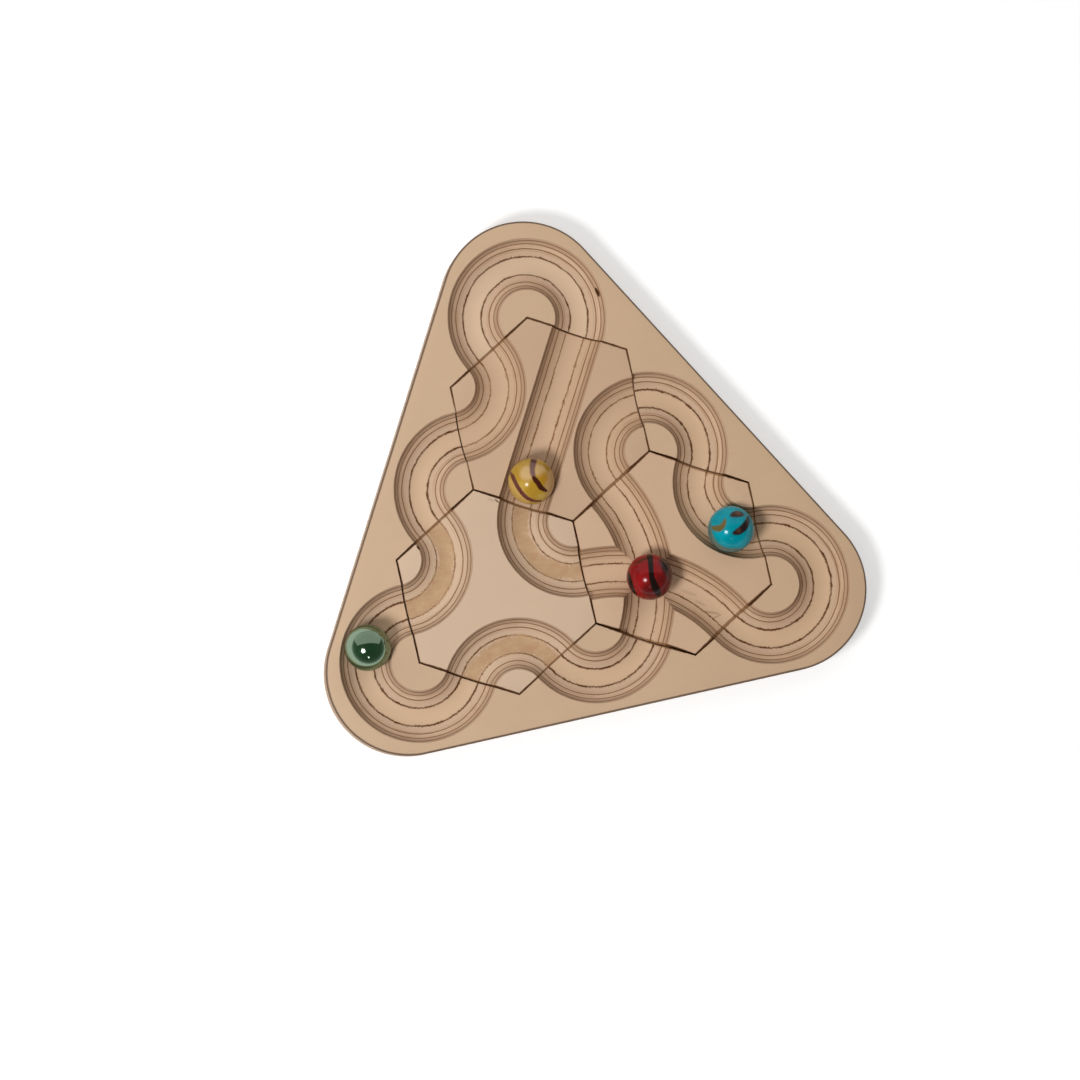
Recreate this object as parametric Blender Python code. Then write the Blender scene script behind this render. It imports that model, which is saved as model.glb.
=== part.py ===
"""Marble maze: a triangular wooden board with three lift-out hexagonal track tiles and four marbles.

Units are metres and +Z is up. The origin is on the underside, below the corner where the three tiles
meet. +Y runs from there to the middle of the straight-track tile.
"""
import math

import bmesh
import bpy
from mathutils import Vector

# Plan of the board
HEX_SIDE = 0.036            # side of each hexagon in the three-hexagon opening
SEAM_GAP = 0.0006           # cut line between neighbouring tiles, and between a tile and the frame
SIDE_RIM = 0.0035           # wood left between the corner loops and the straight sides
TIP_RIM = 0.006             # wood left between the corner loops and the tips of the rounded corners
EDGE_ROUND = 0.0008         # eased top and bottom edges of the outline

# Sheets
BASE_THICKNESS = 0.003      # plain panel that closes the opening from below
BOARD_THICKNESS = 0.009     # sheet that the frame and the tiles are cut from
SEAT_GAP = 0.0003           # glue film under the frame, and clearance under the tiles and the marbles

# Tracks and marbles
MARBLE_DIAMETER = 0.016
TRACK_PLAY = 0.003          # how much wider than a marble the round-nosed track cutter is
TRACK_DEPTH = 0.0063
FRAME_TRACK_SHIFT = 0.0006  # the frame's tracks run this far outside half a hexagon side
TILE_TRACK_SHIFT = -0.0006  # the tiles' bends run this far inside it
SWEEP_TRACK_SHIFT = -0.001  # the wide sweeps run this far inside one and a half hexagon sides

# Where the marbles lie, in degrees round the centre of the track that each one follows
GREEN_MARBLE_ANGLE = 152.0
TURQUOISE_MARBLE_ANGLE = 236.0
RED_MARBLE_ANGLE = -7.0
YELLOW_EDGE_CLEARANCE = 0.0003  # the yellow marble stops this far inside the edge of its tile

# Facets
CORNER_STEPS = 16           # per rounded corner
ROUND_STEPS = 2             # across an eased edge
BEND_STEPS = 48             # per full turn of a tight bend
SWEEP_STEPS = 96            # per full turn of a wide sweep
TRACK_SIDES = 24            # round the section of a track
MARBLE_SEGMENTS = 24
MARBLE_RINGS = 12
OVERCUT = 0.005             # how far a cutter reaches past the piece that it cuts

# Derived sizes
MARBLE_RADIUS = MARBLE_DIAMETER / 2
TRACK_CUTTER_RADIUS = (MARBLE_DIAMETER + TRACK_PLAY) / 2
TRACK_HALF_WIDTH = math.sqrt(TRACK_DEPTH * (2 * TRACK_CUTTER_RADIUS - TRACK_DEPTH))
HEX_APOTHEM = HEX_SIDE * math.sqrt(3) / 2
TILE_APOTHEM = HEX_APOTHEM - SEAM_GAP / 2
POCKET_APOTHEM = HEX_APOTHEM + SEAM_GAP / 2
SHEET_BOTTOM = BASE_THICKNESS + SEAT_GAP
SHEET_TOP = SHEET_BOTTOM + BOARD_THICKNESS
TRACK_AXIS_HEIGHT = SHEET_TOP - TRACK_DEPTH + TRACK_CUTTER_RADIUS
MARBLE_HEIGHT = SHEET_TOP - TRACK_DEPTH + SEAT_GAP + MARBLE_RADIUS
FRAME_BEND_RADIUS = HEX_SIDE / 2 + FRAME_TRACK_SHIFT
TILE_BEND_RADIUS = HEX_SIDE / 2 + TILE_TRACK_SHIFT
TILE_SWEEP_RADIUS = HEX_SIDE * 3 / 2 + SWEEP_TRACK_SHIFT
LOOP_OUTER_RADIUS = FRAME_BEND_RADIUS + TRACK_HALF_WIDTH
OUTLINE_SIDE_DISTANCE = HEX_SIDE + LOOP_OUTER_RADIUS + SIDE_RIM
OUTLINE_TIP_DISTANCE = 2 * HEX_SIDE + LOOP_OUTER_RADIUS + TIP_RIM
CORNER_RADIUS = 2 * OUTLINE_SIDE_DISTANCE - OUTLINE_TIP_DISTANCE

# Directions from a hexagon's centre to its corners, and the three tiles, in degrees
CORNER_ANGLES = (90, 30, -30, -90, -150, 150)
STRAIGHT_TILE_ANGLE = 90
THREE_BEND_TILE_ANGLE = 210
CROSSING_TILE_ANGLE = 330
TILE_ANGLES = (STRAIGHT_TILE_ANGLE, THREE_BEND_TILE_ANGLE, CROSSING_TILE_ANGLE)


def clear_scene():
    for item in list(bpy.data.objects):
        bpy.data.objects.remove(item, do_unlink=True)


def new_collection(name):
    collection = bpy.data.collections.new(name)
    bpy.context.scene.collection.children.link(collection)
    return collection


def wooden(name, colour):
    return principled(name, colour, roughness=0.7)


def glass(name, colour):
    return principled(name, colour, roughness=0.08)


def principled(name, colour, roughness):
    material = bpy.data.materials.new(name)
    material.use_nodes = True
    shader = material.node_tree.nodes["Principled BSDF"]
    shader.inputs["Base Color"].default_value = (*colour, 1.0)
    shader.inputs["Roughness"].default_value = roughness
    shader.inputs["Metallic"].default_value = 0.0
    material.diffuse_color = (*colour, 1.0)
    return material


def polar(distance, degrees, height=0.0):
    angle = math.radians(degrees)
    return Vector((distance * math.cos(angle), distance * math.sin(angle), height))


def tile_centre(tile_angle):
    return polar(HEX_SIDE, tile_angle)


def tile_corner(tile_angle, corner_angle):
    return tile_centre(tile_angle) + polar(HEX_SIDE, corner_angle)


def move_to(item, collection):
    for holder in list(item.users_collection):
        holder.objects.unlink(item)
    collection.objects.link(item)


def finish_part(item, name, material, parent):
    item.name = name
    item.data.name = name
    item.data.materials.clear()
    item.data.materials.append(material)
    move_to(item, PARTS)
    item.parent = parent
    return item


def finish_cutter(item, name):
    item.name = name
    item.hide_render = True
    item.display_type = "WIRE"
    move_to(item, CUTTERS)
    return item


def pivot(name, place, turn, parent):
    """Empty on a vertical joint axis. What hangs on it lies on its local X axis."""
    item = bpy.data.objects.new(name, None)
    PARTS.objects.link(item)
    item.location = place
    item.rotation_euler.z = math.radians(turn)
    item.parent = parent
    return item


def cut(item, cutter):
    modifier = item.modifiers.new("cut " + cutter.name, "BOOLEAN")
    modifier.operation = "DIFFERENCE"
    modifier.solver = "EXACT"
    modifier.object = cutter


def hexagon_prism(apothem, thickness, place):
    bpy.ops.mesh.primitive_cylinder_add(
        vertices=len(CORNER_ANGLES),
        radius=apothem * 2 / math.sqrt(3),
        depth=thickness,
        location=place,
    )
    return bpy.context.object


def ring_track(name, centre, radius, steps):
    """Round-nosed cutter swept along a whole circle. It cuts only where its piece has wood."""
    bpy.ops.mesh.primitive_torus_add(
        location=(centre.x, centre.y, TRACK_AXIS_HEIGHT),
        major_radius=radius,
        minor_radius=TRACK_CUTTER_RADIUS,
        major_segments=steps,
        minor_segments=TRACK_SIDES,
    )
    return finish_cutter(bpy.context.object, name)


def straight_track(name, centre, direction):
    bpy.ops.mesh.primitive_cylinder_add(
        vertices=TRACK_SIDES,
        radius=TRACK_CUTTER_RADIUS,
        depth=2 * (HEX_APOTHEM + OVERCUT),
        location=(centre.x, centre.y, TRACK_AXIS_HEIGHT),
        rotation=(0.0, math.pi / 2, math.radians(direction)),
    )
    return finish_cutter(bpy.context.object, name)


def outline_points():
    """Equilateral triangle with round corners, its corners towards the three tiles."""
    points = []
    for tile_angle in TILE_ANGLES:
        centre = polar(OUTLINE_TIP_DISTANCE - CORNER_RADIUS, tile_angle)
        for step in range(CORNER_STEPS + 1):
            points.append(centre + polar(CORNER_RADIUS, tile_angle - 60 + 120 * step / CORNER_STEPS))
    return points


def outline_plate(bottom, thickness, eased_height):
    """Board-shaped plate whose outer edge is eased at one height, its top or its bottom."""
    curve = bpy.data.curves.new("outline", "CURVE")
    curve.dimensions = "2D"
    curve.fill_mode = "BOTH"
    curve.extrude = thickness / 2
    points = outline_points()
    spline = curve.splines.new("POLY")
    spline.points.add(len(points) - 1)
    for slot, point in zip(spline.points, points):
        slot.co = (point.x, point.y, 0.0, 1.0)
    spline.use_cyclic_u = True
    outline = bpy.data.objects.new("outline", curve)
    bpy.context.scene.collection.objects.link(outline)
    outline.location.z = bottom + thickness / 2
    bpy.context.view_layer.update()
    mesh = bpy.data.meshes.new_from_object(outline.evaluated_get(bpy.context.evaluated_depsgraph_get()))
    plate = bpy.data.objects.new("plate", mesh)
    plate.matrix_world = outline.matrix_world
    bpy.data.objects.remove(outline, do_unlink=True)
    bpy.context.scene.collection.objects.link(plate)
    shape = bmesh.new()
    shape.from_mesh(mesh)
    bmesh.ops.remove_doubles(shape, verts=shape.verts, dist=1e-6)
    bmesh.ops.dissolve_limit(shape, angle_limit=math.radians(1), verts=shape.verts, edges=shape.edges)
    level = eased_height - plate.location.z
    rim = [edge for edge in shape.edges if all(abs(vert.co.z - level) < 1e-6 for vert in edge.verts)]
    bmesh.ops.bevel(shape, geom=rim, offset=EDGE_ROUND, segments=ROUND_STEPS, profile=0.5, affect="EDGES")
    shape.to_mesh(mesh)
    shape.free()
    return plate


def make_base_panel(parent):
    plate = outline_plate(0.0, BASE_THICKNESS, 0.0)
    return finish_part(plate, "base_panel", wooden("base plywood", (0.56, 0.41, 0.27)), parent)


def make_frame(parent):
    plate = outline_plate(SHEET_BOTTOM, BOARD_THICKNESS, SHEET_TOP)
    frame = finish_part(plate, "maze_frame", wooden("frame plywood", (0.55, 0.40, 0.26)), parent)
    sheet_middle = (SHEET_BOTTOM + SHEET_TOP) / 2
    for tile_angle in TILE_ANGLES:
        place = tile_centre(tile_angle) + Vector((0.0, 0.0, sheet_middle))
        pocket = hexagon_prism(POCKET_APOTHEM, BOARD_THICKNESS + 2 * OVERCUT, place)
        cut(frame, finish_cutter(pocket, f"pocket_{tile_angle}"))
    for tile_angle in TILE_ANGLES:
        loop_centre = polar(2 * HEX_SIDE, tile_angle)
        cut(frame, ring_track(f"frame_loop_{tile_angle}", loop_centre, FRAME_BEND_RADIUS, BEND_STEPS))
        notch_centre = polar(HEX_SIDE, tile_angle - 60)
        cut(frame, ring_track(f"frame_bend_{tile_angle}", notch_centre, FRAME_BEND_RADIUS, BEND_STEPS))
    return frame


def make_tile(name, tile_angle, colour, parent):
    """Hexagonal tile with its origin on its own vertical axis, the line along which it lifts out."""
    place = tile_centre(tile_angle) + Vector((0.0, 0.0, (SHEET_BOTTOM + SHEET_TOP) / 2))
    tile = hexagon_prism(TILE_APOTHEM, BOARD_THICKNESS, place)
    return finish_part(tile, name, wooden(name + " plywood", colour), parent)


def cut_bends(tile, tile_angle, corner_angles):
    for corner_angle in corner_angles:
        centre = tile_corner(tile_angle, corner_angle)
        name = f"{tile.name}_bend_{corner_angle}"
        cut(tile, ring_track(name, centre, TILE_BEND_RADIUS, BEND_STEPS))


def cut_sweeps(tile, tile_angle, neighbour_angles):
    """Wide curves about the centres of the hexagons that would lie next to the tile."""
    for neighbour_angle in neighbour_angles:
        centre = tile_centre(tile_angle) + polar(2 * HEX_APOTHEM, neighbour_angle)
        name = f"{tile.name}_sweep_{neighbour_angle}"
        cut(tile, ring_track(name, centre, TILE_SWEEP_RADIUS, SWEEP_STEPS))


def make_straight_tile(parent):
    tile = make_tile("straight_tile", STRAIGHT_TILE_ANGLE, (0.55, 0.40, 0.26), parent)
    cut_bends(tile, STRAIGHT_TILE_ANGLE, (150, -30))
    cut(tile, straight_track("straight_tile_run", tile_centre(STRAIGHT_TILE_ANGLE), STRAIGHT_RUN_ANGLE))
    return tile


def make_three_bend_tile(parent):
    tile = make_tile("three_bend_tile", THREE_BEND_TILE_ANGLE, (0.60, 0.46, 0.33), parent)
    cut_bends(tile, THREE_BEND_TILE_ANGLE, (150, 30, -90))
    return tile


def make_crossing_tile(parent):
    tile = make_tile("crossing_tile", CROSSING_TILE_ANGLE, (0.50, 0.36, 0.23), parent)
    cut_bends(tile, CROSSING_TILE_ANGLE, (TURQUOISE_CORNER_ANGLE,))
    cut_sweeps(tile, CROSSING_TILE_ANGLE, (RED_SWEEP_ANGLE, -120))
    return tile


def make_marble(name, colour, place, parent):
    """Glass marble at a world position, kept in place under the piece or pivot that carries it."""
    bpy.ops.mesh.primitive_uv_sphere_add(
        segments=MARBLE_SEGMENTS,
        ring_count=MARBLE_RINGS,
        radius=MARBLE_RADIUS,
    )
    marble = finish_part(bpy.context.object, name, glass(name + " glass", colour), parent)
    marble.data.shade_smooth()
    bpy.context.view_layer.update()
    marble.location = parent.matrix_world.inverted() @ place
    return marble


def make_orbiting_marble(name, colour, centre, radius, angle, carrier):
    """Marble on a curved track. Its pivot stands on the track's own centre."""
    bpy.context.view_layer.update()
    axis = pivot(name + "_axis", carrier.matrix_world.inverted() @ centre, angle, carrier)
    return make_marble(name, colour, centre + polar(radius, angle, MARBLE_HEIGHT), axis)


def make_marbles(frame, straight_tile, crossing_tile):
    loop_centre = polar(2 * HEX_SIDE, THREE_BEND_TILE_ANGLE)
    make_orbiting_marble(
        "marble_green", (0.04, 0.16, 0.07), loop_centre, FRAME_BEND_RADIUS, GREEN_MARBLE_ANGLE, frame
    )
    bend_centre = tile_corner(CROSSING_TILE_ANGLE, TURQUOISE_CORNER_ANGLE)
    make_orbiting_marble(
        "marble_turquoise", (0.05, 0.36, 0.42), bend_centre, TILE_BEND_RADIUS, TURQUOISE_MARBLE_ANGLE,
        crossing_tile,
    )
    sweep_centre = tile_centre(CROSSING_TILE_ANGLE) + polar(2 * HEX_APOTHEM, RED_SWEEP_ANGLE)
    make_orbiting_marble(
        "marble_red", (0.42, 0.03, 0.02), sweep_centre, TILE_SWEEP_RADIUS, RED_MARBLE_ANGLE, crossing_tile
    )
    reach = TILE_APOTHEM - MARBLE_RADIUS - YELLOW_EDGE_CLEARANCE
    yellow_place = tile_centre(STRAIGHT_TILE_ANGLE) + polar(-reach, STRAIGHT_RUN_ANGLE, MARBLE_HEIGHT)
    make_marble("marble_yellow", (0.50, 0.30, 0.06), yellow_place, straight_tile)


# Directions within the tiles that both a track and a marble use, in degrees
STRAIGHT_RUN_ANGLE = 60
TURQUOISE_CORNER_ANGLE = 30
RED_SWEEP_ANGLE = 180

clear_scene()
PARTS = new_collection("marble_maze")
CUTTERS = new_collection("marble_maze_cutters")
board = pivot("board", Vector((0.0, 0.0, 0.0)), 0.0, None)
make_base_panel(board)
make_marbles(make_frame(board), make_straight_tile(board), make_crossing_tile(board))
make_three_bend_tile(board)
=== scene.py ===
"""Looks of a marble maze: a routed plywood board, three lift-out track tiles and four glass marbles."""
import math

import bmesh
import bpy
from mathutils import Matrix, Vector, noise


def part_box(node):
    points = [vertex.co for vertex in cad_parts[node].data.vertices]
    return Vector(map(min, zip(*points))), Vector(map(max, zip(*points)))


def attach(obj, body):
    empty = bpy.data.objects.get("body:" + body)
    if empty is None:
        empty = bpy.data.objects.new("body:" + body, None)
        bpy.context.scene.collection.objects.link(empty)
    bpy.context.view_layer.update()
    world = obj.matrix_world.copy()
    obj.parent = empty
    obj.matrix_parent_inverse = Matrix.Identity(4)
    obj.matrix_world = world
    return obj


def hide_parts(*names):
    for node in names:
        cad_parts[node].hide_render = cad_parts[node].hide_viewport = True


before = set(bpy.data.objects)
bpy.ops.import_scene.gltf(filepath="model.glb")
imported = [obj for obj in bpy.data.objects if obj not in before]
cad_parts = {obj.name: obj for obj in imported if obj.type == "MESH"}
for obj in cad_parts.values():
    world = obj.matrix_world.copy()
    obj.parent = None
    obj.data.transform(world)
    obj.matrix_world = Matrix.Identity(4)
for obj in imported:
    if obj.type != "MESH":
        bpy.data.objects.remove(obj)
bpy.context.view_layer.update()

MM = 0.001

# The board in metres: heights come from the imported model, and the other sizes repeat its own.
HEX_SIDE = 36 * MM
HEX_APOTHEM = HEX_SIDE * math.sqrt(3) / 2
SEAM_GAP = 0.6 * MM
BOARD_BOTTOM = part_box("maze_frame")[0].z
BOARD_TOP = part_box("maze_frame")[1].z
BASE_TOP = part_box("base_panel")[1].z
CORNER_RADIUS = 28.545 * MM
CORNER_DISTANCE = 77.0 * MM
TIP_ANGLES = (90, 210, 330)
NOTCH_ANGLES = (30, 150, 270)

# The tracks, cut by a router bit with a round nose.
BALL_NOSE_RADIUS = 9.5 * MM
TRACK_DEPTH = 6.3 * MM
TRACK_AXIS_HEIGHT = BOARD_TOP - TRACK_DEPTH + BALL_NOSE_RADIUS
FRAME_BEND_RADIUS = 18.6 * MM
TILE_BEND_RADIUS = 17.4 * MM
SWEEP_RADIUS = 53.0 * MM
RUN_HALF_LENGTH = 1.5 * HEX_SIDE
BEND_STEPS = 200
SWEEP_STEPS = 320

# Edges, and how far the cutters reach past the wood.
OUTER_EDGE_ROUND = 0.8 * MM
GLUED_EDGE_EASE = 0.1 * MM
TILE_EASE = 0.08 * MM
TILE_CORNER_ROUND = 0.5 * MM
BIT_CLEARANCE = 0.8 * MM
SAW_CLEARANCE = 1.0 * MM
CRISP_ANGLE = math.radians(28)
WELD_DISTANCE = 0.0005 * MM

# A tile's sides have the face's outline down to the first depth and the foot's from the second.
FACE_SIDE_DEPTH = 1.0 * MM
FOOT_SIDE_DEPTH = 2.2 * MM

# The marbles: unevenness of the pressed glass, and the two cut-off marks with the cosine at their edge.
MARBLE_UNEVENNESS = 0.02 * MM
UNEVEN_FINENESS = 1.7
CUT_OFF_DEPTH = 0.05 * MM
CUT_OFF_DIP = -0.35
CUT_OFF_EDGE = 0.985

# The camera of the photograph, which looks down almost square onto the board.
CAMERA_TILT = math.radians(6.5)
CAMERA_AZIMUTH = math.radians(200)
CAMERA_ROLL = math.radians(-12.68)
CAMERA_DISTANCE = 1.976
CAMERA_SIDESTEP = -0.0102
CAMERA_RISE = -0.0057
CAMERA_LENS = 190.2
SENSOR_WIDTH = 36.0


def at_angle(degrees, distance=1.0):
    """A point on the board at an angle and distance from its middle."""
    turn = math.radians(degrees)
    return Vector((distance * math.cos(turn), distance * math.sin(turn), 0))


def camera_axes():
    """The photograph's right, up and towards-the-camera directions."""
    towards = Vector((
        math.sin(CAMERA_TILT) * math.cos(CAMERA_AZIMUTH),
        math.sin(CAMERA_TILT) * math.sin(CAMERA_AZIMUTH),
        math.cos(CAMERA_TILT),
    ))
    level = Vector((0, 1, 0)).cross(towards).normalized()
    rise = towards.cross(level)
    right = math.cos(CAMERA_ROLL) * level + math.sin(CAMERA_ROLL) * rise
    up = -math.sin(CAMERA_ROLL) * level + math.cos(CAMERA_ROLL) * rise
    return right, up, towards


PHOTO_RIGHT, PHOTO_UP, PHOTO_TOWARDS = camera_axes()

STRAIGHT_TILE = at_angle(90, HEX_SIDE)
THREE_BEND_TILE = at_angle(210, HEX_SIDE)
CROSSING_TILE = at_angle(330, HEX_SIDE)
TILE_CENTRES = (STRAIGHT_TILE, THREE_BEND_TILE, CROSSING_TILE)


# Meshes

def mesh_object(name, made):
    """A new object from a bmesh, with its faces turned outwards."""
    bmesh.ops.recalc_face_normals(made, faces=made.faces)
    mesh = bpy.data.meshes.new(name)
    made.to_mesh(mesh)
    made.free()
    piece = bpy.data.objects.new(name, mesh)
    bpy.context.scene.collection.objects.link(piece)
    return piece


def stacked_rings(rings, closed_path=False):
    """A closed skin over rings of points: capped at both ends, or joined from last to first."""
    made = bmesh.new()
    loops = [[made.verts.new(point) for point in ring] for ring in rings]
    pairs = list(zip(loops, loops[1:]))
    if closed_path:
        pairs.append((loops[-1], loops[0]))
    else:
        made.faces.new(loops[0])
        made.faces.new(loops[-1])
    for lower, upper in pairs:
        count = len(lower)
        for here in range(count):
            after = (here + 1) % count
            made.faces.new((lower[here], lower[after], upper[after], upper[here]))
    return made


def eased_profile(bottom, top, lower_ease, upper_ease, steps=5):
    """Heights and insets of a plate whose lower and upper edges are rounded over."""
    profile = []
    for step in range(steps + 1):
        swing = math.radians(90 * step / steps)
        rise = lower_ease * (1 - math.cos(swing))
        profile.append((bottom + rise, lower_ease * (1 - math.sin(swing))))
    for step in range(steps + 1):
        swing = math.radians(90 * step / steps)
        drop = upper_ease * (1 - math.sin(swing))
        profile.append((top - drop, upper_ease * (1 - math.cos(swing))))
    return profile


def outline_ring(height, inset):
    """The board's rounded triangle at one height, drawn in from its outer line."""
    arc_steps = 60
    half_arc = 60
    ring = []
    for tip in TIP_ANGLES:
        middle = at_angle(tip, CORNER_DISTANCE)
        for step in range(arc_steps + 1):
            angle = tip - half_arc + 2 * half_arc * step / arc_steps
            point = middle + at_angle(angle, CORNER_RADIUS - inset)
            ring.append((point.x, point.y, height))
    return ring


def outline_plate(name, bottom, top, lower_ease, upper_ease):
    """A plate in the board's outline with both its edges eased."""
    profile = eased_profile(bottom, top, lower_ease, upper_ease)
    return mesh_object(name, stacked_rings([outline_ring(height, inset) for height, inset in profile]))


def hexagon_ring(centre, apothem, height, corner_round=0.0, side_extras=(0, 0, 0, 0, 0, 0)):
    """A hexagon with a corner at the top, its corners rounded and its sides moved out if asked.

    The sides are counted anticlockwise from the right-hand one.
    """
    # Cosine and squared sine of the 60 degrees between neighbouring sides.
    cosine = 0.5
    sine_squared = 0.75
    arc_steps = 6 if corner_round else 0
    ring = []
    for side in range(6):
        angle = 60 * side
        here = apothem + side_extras[side] - corner_round
        after = apothem + side_extras[(side + 1) % 6] - corner_round
        along_here = at_angle(angle, (here - after * cosine) / sine_squared)
        along_after = at_angle(angle + 60, (after - here * cosine) / sine_squared)
        middle = centre + along_here + along_after
        for step in range(arc_steps + 1):
            swing = 60 * step / arc_steps if corner_round else 0
            point = middle + at_angle(angle + swing, corner_round)
            ring.append((point.x, point.y, height))
    return ring


def ball_nose_profile():
    """Half-round section of the router bit: offset across the track and height, closed above the board."""
    steps = 60
    reach = math.acos((TRACK_AXIS_HEIGHT - BOARD_TOP - BIT_CLEARANCE) / BALL_NOSE_RADIUS)
    section = []
    for step in range(steps + 1):
        swing = -reach + 2 * reach * step / steps
        offset = BALL_NOSE_RADIUS * math.sin(swing)
        section.append((offset, TRACK_AXIS_HEIGHT - BALL_NOSE_RADIUS * math.cos(swing)))
    return section


def bit_path(name, stations, closed_path=False):
    """What the bit clears along its stations: a point, the way across and the distance that way."""
    rings = []
    for origin, across, distance in stations:
        ring = []
        for offset, height in ball_nose_profile():
            point = origin + across * (distance + offset)
            ring.append((point.x, point.y, height))
        rings.append(ring)
    return mesh_object(name, stacked_rings(rings, closed_path))


def bend_cutter(centre, bend_radius, steps=BEND_STEPS):
    """The round path of the router bit about a point."""
    stations = [(centre, at_angle(360 * step / steps), bend_radius) for step in range(steps)]
    return bit_path("bend_cutter", stations, closed_path=True)


def run_cutter(centre, angle):
    """The straight path of the router bit through a point, past both ends of a tile."""
    along = at_angle(angle, RUN_HALF_LENGTH)
    across = at_angle(angle - 90)
    return bit_path("run_cutter", [(centre - along, across, 0.0), (centre + along, across, 0.0)])


def pocket_cutter(centre):
    """One of the three hexagons sawn out of the frame, slightly eased at the top edge."""
    apothem = HEX_APOTHEM + SEAM_GAP / 2
    levels = (
        (BOARD_BOTTOM - SAW_CLEARANCE, apothem),
        (BOARD_TOP - TILE_EASE, apothem),
        (BOARD_TOP + SAW_CLEARANCE, apothem + TILE_EASE + SAW_CLEARANCE),
    )
    rings = [hexagon_ring(centre, wide, height) for height, wide in levels]
    return mesh_object("pocket_cutter", stacked_rings(rings))


def carve(piece, cutters):
    """Cuts a piece with each cutter in turn and keeps the finished mesh."""
    for cutter in cutters:
        cut = piece.modifiers.new(cutter.name, "BOOLEAN")
        cut.operation = "DIFFERENCE"
        cut.solver = "MANIFOLD"
        cut.object = cutter
    finished = piece.evaluated_get(bpy.context.evaluated_depsgraph_get())
    rough = piece.data
    piece.data = bpy.data.meshes.new_from_object(finished)
    piece.modifiers.clear()
    bpy.data.meshes.remove(rough)
    for cutter in cutters:
        spent = cutter.data
        bpy.data.objects.remove(cutter)
        bpy.data.meshes.remove(spent)
    return piece


def smooth_with_crisp_edges(piece):
    """Smooth shading that stops at every crisp edge."""
    mesh = piece.data
    made = bmesh.new()
    made.from_mesh(mesh)
    bmesh.ops.remove_doubles(made, verts=made.verts, dist=WELD_DISTANCE)
    for face in made.faces:
        face.smooth = True
    for edge in made.edges:
        edge.smooth = edge.is_manifold and edge.calc_face_angle() < CRISP_ANGLE
    made.to_mesh(mesh)
    made.free()
    mesh.name = piece.name
    return piece


def routed_frame():
    """The triangular frame: three-hexagon opening, loops at the tips and bends at the notches."""
    plate = outline_plate("routed_frame", BOARD_BOTTOM, BOARD_TOP, GLUED_EDGE_EASE, OUTER_EDGE_ROUND)
    cutters = [pocket_cutter(centre) for centre in TILE_CENTRES]
    cutters += [bend_cutter(at_angle(tip, 2 * HEX_SIDE), FRAME_BEND_RADIUS) for tip in TIP_ANGLES]
    cutters += [bend_cutter(at_angle(notch, HEX_SIDE), FRAME_BEND_RADIUS) for notch in NOTCH_ANGLES]
    return smooth_with_crisp_edges(carve(plate, cutters))


def base_sheet():
    """The thin panel under the frame, eased all round its lower edge."""
    plate = outline_plate("base_sheet", 0.0, BASE_TOP, OUTER_EDGE_ROUND, GLUED_EDGE_EASE)
    return smooth_with_crisp_edges(plate)


def routed_tile(name, centre, cutters, face_extras, foot_extras):
    """A hand-sawn hexagonal tile with its tracks.

    Its sides aren't quite even. The extras, in millimetres, move each side out at the face and at the foot.
    """
    apothem = HEX_APOTHEM - SEAM_GAP / 2
    face_sides = [extra * MM for extra in face_extras]
    foot_sides = [extra * MM for extra in foot_extras]
    profile = eased_profile(BOARD_BOTTOM, BOARD_TOP, TILE_EASE, TILE_EASE, steps=3)
    middle = len(profile) // 2
    foot_levels = [*profile[:middle], (BOARD_TOP - FOOT_SIDE_DEPTH, 0.0)]
    face_levels = [(BOARD_TOP - FACE_SIDE_DEPTH, 0.0), *profile[middle:]]
    rings = []
    for levels, sides in ((foot_levels, foot_sides), (face_levels, face_sides)):
        for height, inset in levels:
            rings.append(hexagon_ring(centre, apothem - inset, height, TILE_CORNER_ROUND - inset, sides))
    return smooth_with_crisp_edges(carve(mesh_object(name, stacked_rings(rings)), cutters))


def glass_marble(name, middle, radius, seed):
    """A pressed glass marble: round, with the faint unevenness and the two cut-off marks of real ones."""
    made = bmesh.new()
    bmesh.ops.create_icosphere(made, subdivisions=6, radius=1.0)
    cut_off = Vector((math.cos(seed), math.sin(seed), CUT_OFF_DIP)).normalized()
    for vert in made.verts:
        way = vert.co.normalized()
        uneven = 0.5 + 0.5 * noise.noise(way * UNEVEN_FINENESS + Vector((seed, 0, 0)))
        mark = max(0.0, abs(way.dot(cut_off)) - CUT_OFF_EDGE) / (1 - CUT_OFF_EDGE)
        vert.co = way * (radius - MARBLE_UNEVENNESS * uneven - CUT_OFF_DEPTH * mark)
    for face in made.faces:
        face.smooth = True
    piece = mesh_object(name, made)
    piece.location = middle
    return piece


# Colours

def shade(red, green, blue):
    """A colour given in screen values from 0 to 255, as the linear value that shaders take."""
    parts = []
    for screen in (red, green, blue):
        part = screen / 255
        parts.append(part / 12.92 if part <= 0.04045 else ((part + 0.055) / 1.055) ** 2.4)
    return (*parts, 1.0)


def dimmed(colour, amount):
    """The same colour with its light multiplied by an amount."""
    return (*(part * amount for part in colour[:3]), 1.0)


def grey(level):
    """A grey of a given light."""
    return (level, level, level, 1.0)


FACE = shade(205, 175, 145)
GLUE = shade(148, 110, 80)
DEEP_GLUE = shade(138, 100, 68)
TOOL_MARK = shade(156, 118, 86)
PALE_PLY = shade(214, 187, 160)
CHAR = shade(84, 46, 10)
SINGED = shade(116, 74, 34)
FIBRE = shade(226, 200, 168)
GLUE_STAIN = shade(181, 139, 103)
# Painted shade along the board's eased outer corner.
EDGE_LINE_SHADE = shade(88, 70, 58)
CHIP = shade(70, 44, 22)


# Finishes

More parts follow.
